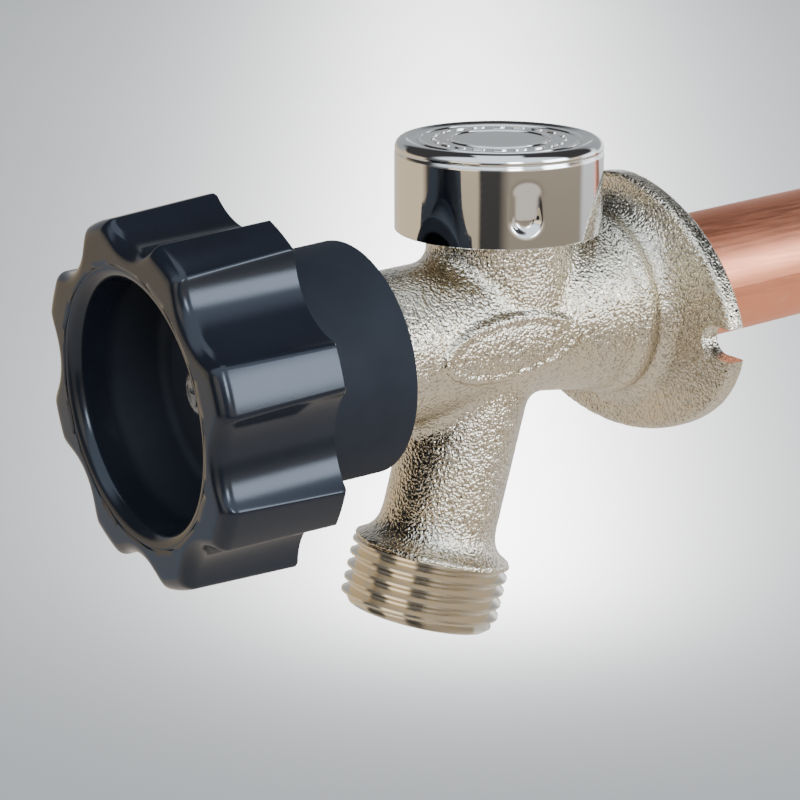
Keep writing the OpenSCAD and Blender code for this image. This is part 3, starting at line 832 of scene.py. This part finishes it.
class SILLCOCK_OT_handle(bpy.types.Operator):
    """Moulds the lobed handle with its cup, hub and skirt"""

    bl_idname = "sillcock.handle"
    bl_label = "Handle"

    def execute(self, context):
        sizes = context.scene.sillcock_sizes
        count = sizes.lobe_count
        flute = sizes.flute_radius * 1000
        rear_r = sizes.grip_radius * 1000
        front_r = rear_r - DRAFT
        shoulder_s = GRIP_FRONT + FRONT_EDGE
        face_r = front_r - FRONT_EDGE
        rows = 22
        start_s = GRIP_REAR - 0.3
        side = [
            (rear_r - DRAFT * i / rows, start_s + (shoulder_s - GRIP_REAR + 0.3) * i / rows)
            for i in range(rows + 1)
        ]
        shoulder = arc(face_r, shoulder_s, FRONT_EDGE, 0, -90, 12)[1:]
        face = [(r, GRIP_FRONT) for r in (25.5, 24.4, 23.4, LIP_RING)]
        face += [(LIP_RING - 0.15, GRIP_FRONT + 0.12), *arc(22, -95, 2.3, -90, -180, 10)]
        cup = [(19.6, -92), (19.2, -87), *arc(17, -83.1, 1.6, 0, 90, 6), (13.8, -81.5)]
        cup += [(13.4, -81.8), (13.4, -82.75), (13.15, -83), (9, -83), (5, -83), (1.95, -83)]
        web = [(1.95, -82.5), (4.9, -82.5), (4.9, -76), (13, -76), *arc(15.6, -75, 1, 270, 360, 4)]
        skirt = [(16.6, -57.6), (16.9, -57.3), (18.7, -57.3), (19.1, -57.65), (18.8, -74)]
        root = [(18.9, -76.2), (19.6, -77), (24, -77), (rear_r - 0.3, -77)]
        loop = side + shoulder + face + cup + web + skirt + root
        handle = spun("handle_moulding", loop + loop[:1], COLUMNS_PER_LOBE * count)
        centre = rear_r - FLUTE_DEPTH + flute

        def edge_turn(radius):
            """Half the angle of a flute, where it cuts a circle of that radius."""
            return math.acos((centre ** 2 + radius ** 2 - flute ** 2) / (2 * centre * radius))

        def gathered(part):
            """Draws columns, spaced evenly from flute to crest, towards the flute's edge."""
            edge = edge_turn(rear_r) * count / math.pi
            if part < edge:
                return 1 - (1 - part / edge) ** 1.5, 0
            return 1, ((part - edge) / (1 - edge)) ** 1.5

        def scooped(radius, turn, blend):
            """The radius that a flute leaves, with a soft crest where it meets the lobe."""
            inside = flute ** 2 - (centre * math.sin(turn)) ** 2
            if inside <= 0:
                return radius
            scoop = centre * math.cos(turn) - math.sqrt(inside)
            near = max(blend - abs(radius - scoop), 0) / blend
            return min(radius, scoop) - near * near * blend / 4

        with editing(handle) as bm:
            for v in bm.verts:
                r, s = math.hypot(v.co.x, v.co.y), v.co.z
                if r < LIP_RING - 0.05 or s > GRIP_REAR + 0.01:
                    continue
                step = math.tau / count
                turn = math.atan2(v.co.y, v.co.x)
                lobe = round(turn / step - 0.5) + 0.5
                part = turn / step - lobe
                full = max(r, front_r) if s > shoulder_s else front_r
                edge = edge_turn(full)
                inner, outer = gathered(abs(part) * 2)
                new_turn = edge * inner + (step / 2 - edge) * outer
                back = full - r if r > face_r else FRONT_EDGE
                new = scooped(full, new_turn, 0.5 + back)
                if r >= face_r - 0.01:
                    new -= back
                else:
                    share = (r - LIP_RING) / (face_r - LIP_RING)
                    new = LIP_RING + (new - back - LIP_RING) * share
                spot = lobe * step + math.copysign(new_turn, part) - sizes.lobe_turn
                v.co.x = new * math.cos(spot)
                v.co.y = new * math.sin(spot)
            bmesh.update_edit_mesh(handle.data)
        settle(handle, METRES @ ALONG_TUBE)
        dress(handle, finish_of("moulded_navy"), "stem", "handle", slot="navy_plastic", angle=35)
        return {"FINISHED"}


class SILLCOCK_OT_finishes(bpy.types.Operator):
    """Gives the pieces of the frame that stay their finishes"""

    bl_idname = "sillcock.finishes"
    bl_label = "Finishes"

    def execute(self, context):
        for name, nodes in CARRIED_OVER.items():
            for node in nodes:
                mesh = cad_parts[node].data
                mesh.materials.clear()
                mesh.materials.append(finish_of(name))
        return {"FINISHED"}


# The studio


CAMERA_AZIMUTH = math.radians(55.67)
CAMERA_HEIGHT = math.radians(16.19)
CAMERA_AIM = Vector((0, -0.04776, -0.01177))
CAMERA_DISTANCE = 0.3939
FLOOR_HEIGHT, FLOOR_RADIUS = -1.0, 14
LIGHT_DISTANCE, LIGHT_HEIGHT, LIGHT_TILT = 6.4, -0.46, math.radians(4.2)


def sky(tree):
    """The studio round the object: soft boxes, warm walls and dark gaps between them.

    turn is 0 on the camera's side and grows to its right, ahead points at the camera and
    across to its right.
    """
    studio = Nodes(tree)
    way = studio.node("TexCoord", output="Generated")
    x = studio.node("SeparateXYZ", values=(way,), output="X")
    y = studio.node("SeparateXYZ", values=(way,), output="Y")
    z = studio.node("SeparateXYZ", values=(way,), output="Z")
    ahead = x * math.sin(CAMERA_AZIMUTH) - y * math.cos(CAMERA_AZIMUTH)
    across = x * math.cos(CAMERA_AZIMUTH) + y * math.sin(CAMERA_AZIMUTH)
    turn = studio.node("Math", {"operation": "ARCTAN2"}, (x, 0 - y)) - CAMERA_AZIMUTH
    turn = studio.node("Math", {"operation": "WRAP"}, (turn, math.pi, -math.pi))
    tan, strip, dim = (0.95, 0.76, 0.52), (0.62, 0.5, 0.35), (0.37, 0.31, 0.235)
    dark, pale = (0.06, 0.056, 0.052), (0.8, 0.79, 0.78)
    stops = [
        (0.0, pale), (0.1, tan), (0.235, tan), (0.26, dark), (0.335, dark), (0.35, strip),
        (0.43, strip), (0.44, dark), (0.495, dark), (0.53, dim), (0.77, dim), (0.79, pale),
        (1.0, pale),
    ]
    wall = studio.node("ValToRGB", {"stops": stops}, (turn * (0.5 / math.pi) + 0.5,))
    bright = studio.mix(1.0, wall, (3.2, 3.3, 3.5), "MULTIPLY")
    wall = studio.mix(z.ramp(-0.25, 0.1) * turn.ramp(-1.8, -1.3), wall, bright)
    behind = ahead.ramp(-0.5, -0.75)
    wall = studio.mix(behind * z.ramp(-0.1, 0.15), wall, (0.46, 0.48, 0.5))
    low = studio.mix(z.ramp(-0.3, -0.5), wall, (0.85, 0.76, 0.66))
    left = turn.ramp(-1.2, -1.6) * turn.ramp(-2.9, -2.6)
    height = z - behind * 0.3 + left * 0.15
    high = studio.mix(height.ramp(0.1, 0.35), low, (0.06, 0.058, 0.058))
    reach = ahead + across.ramp(0.3, 0.15) * across.ramp(-0.3, -0.15) * 0.5
    top = studio.mix(z.ramp(0.12, 0.42) * reach.ramp(0.05, 0.35), high, (1.5, 1.65, 1.8))

    def panel(left, right, bottom, upper, soft):
        """How much of a soft-edged panel shows, between two turns and two heights."""
        sides = turn.ramp(left - soft, left + soft) * turn.ramp(right + soft, right - soft)
        return sides * z.ramp(bottom - soft, bottom + soft) * z.ramp(upper + soft, upper - soft)

    card = studio.mix(panel(-2.2, -1.7, -0.48, -0.32, 0.04), top, (0.55, 0.6, 0.68))
    side = studio.mix(panel(0.86, 1.36, 0.1, 0.44, 0.08), card, (9.0, 9.5, 10.0))
    front = studio.mix(panel(0.15, 0.4, 0.2, 0.42, 0.06), side, (13.0, 13.6, 14.0))
    studio.put(tree.nodes["Background"].inputs["Color"], front)


class SILLCOCK_OT_studio(bpy.types.Operator):
    """Sets the pale floor, the soft light and the camera"""

    bl_idname = "sillcock.studio"
    bl_label = "Studio"

    def execute(self, context):
        drop_selection()
        bpy.ops.mesh.primitive_circle_add(
            vertices=96, radius=FLOOR_RADIUS, fill_type="NGON", location=(0, 0, FLOOR_HEIGHT)
        )
        floor = context.object
        floor.name = "floor"
        settle(floor, floor.matrix_world.copy())
        floor.visible_glossy = False
        paint = Paint("floor_paint", (0.8, 0.8, 0.8), 0.0, 0.9)
        shade = paint.noise(900.0, 2.0)
        pale = tuple(context.scene.sillcock_colours.backdrop)
        faint = tuple(c * 0.98 for c in pale)
        paint.set(Base_Color=paint.mix(shade.ramp(0.3, 0.7), pale, faint))
        floor.data.materials.append(paint.material)
        world = bpy.data.worlds.new("studio")
        context.scene.world = world
        world.use_nodes = True
        sky(world.node_tree)
        light = bpy.data.lights.new("floor_light", "AREA")
        light.shape, light.size, light.size_y = "RECTANGLE", 0.2, 8.0
        light.energy = 212
        lamp = bpy.data.objects.new("floor_light", light)
        turn = CAMERA_AZIMUTH - 0.02
        lamp.location = (
            -math.sin(turn) * LIGHT_DISTANCE, math.cos(turn) * LIGHT_DISTANCE, LIGHT_HEIGHT
        )
        lamp.rotation_euler = (LIGHT_TILT, 0, turn)
        lamp.visible_camera = False
        lamp.visible_glossy = False
        context.scene.collection.objects.link(lamp)
        camera = bpy.data.objects.new("camera", bpy.data.cameras.new("camera"))
        context.scene.collection.objects.link(camera)
        context.scene.camera = camera
        camera.data.lens, camera.data.sensor_width = 108.0, 36.0
        camera.data.clip_start, camera.data.clip_end = 0.01, 60
        back = Vector((
            math.sin(CAMERA_AZIMUTH) * math.cos(CAMERA_HEIGHT),
            -math.cos(CAMERA_AZIMUTH) * math.cos(CAMERA_HEIGHT),
            math.sin(CAMERA_HEIGHT),
        ))
        camera.location = CAMERA_AIM + back * CAMERA_DISTANCE
        camera.rotation_mode = "QUATERNION"
        camera.rotation_quaternion = back.to_track_quat("Z", "Y")
        return {"FINISHED"}


class SILLCOCK_PT_panel(bpy.types.Panel):
    bl_idname = "SILLCOCK_PT_panel"
    bl_label = "Sillcock"
    bl_space_type = "VIEW_3D"
    bl_region_type = "UI"
    bl_category = "Sillcock"

    def draw(self, context):
        for step in STEPS:
            self.layout.operator(step.bl_idname)
        for group in (context.scene.sillcock_sizes, context.scene.sillcock_colours):
            box = self.layout.box()
            for name in group.__annotations__:
                box.prop(group, name)


STEPS = (
    SILLCOCK_OT_casting,
    SILLCOCK_OT_hose_thread,
    SILLCOCK_OT_cap,
    SILLCOCK_OT_handle,
    SILLCOCK_OT_finishes,
    SILLCOCK_OT_studio,
)
CLASSES = (SillcockSizes, SillcockColours, *STEPS, SILLCOCK_PT_panel)


def register():
    for c in CLASSES:
        bpy.utils.register_class(c)
    bpy.types.Scene.sillcock_sizes = PointerProperty(type=SillcockSizes)
    bpy.types.Scene.sillcock_colours = PointerProperty(type=SillcockColours)


def unregister():
    del bpy.types.Scene.sillcock_colours
    del bpy.types.Scene.sillcock_sizes
    for c in reversed(CLASSES):
        bpy.utils.unregister_class(c)


def main():
    register()
    for step in STEPS:
        group, name = step.bl_idname.split(".")
        getattr(getattr(bpy.ops, group), name)()


if __name__ == "__main__":
    main()
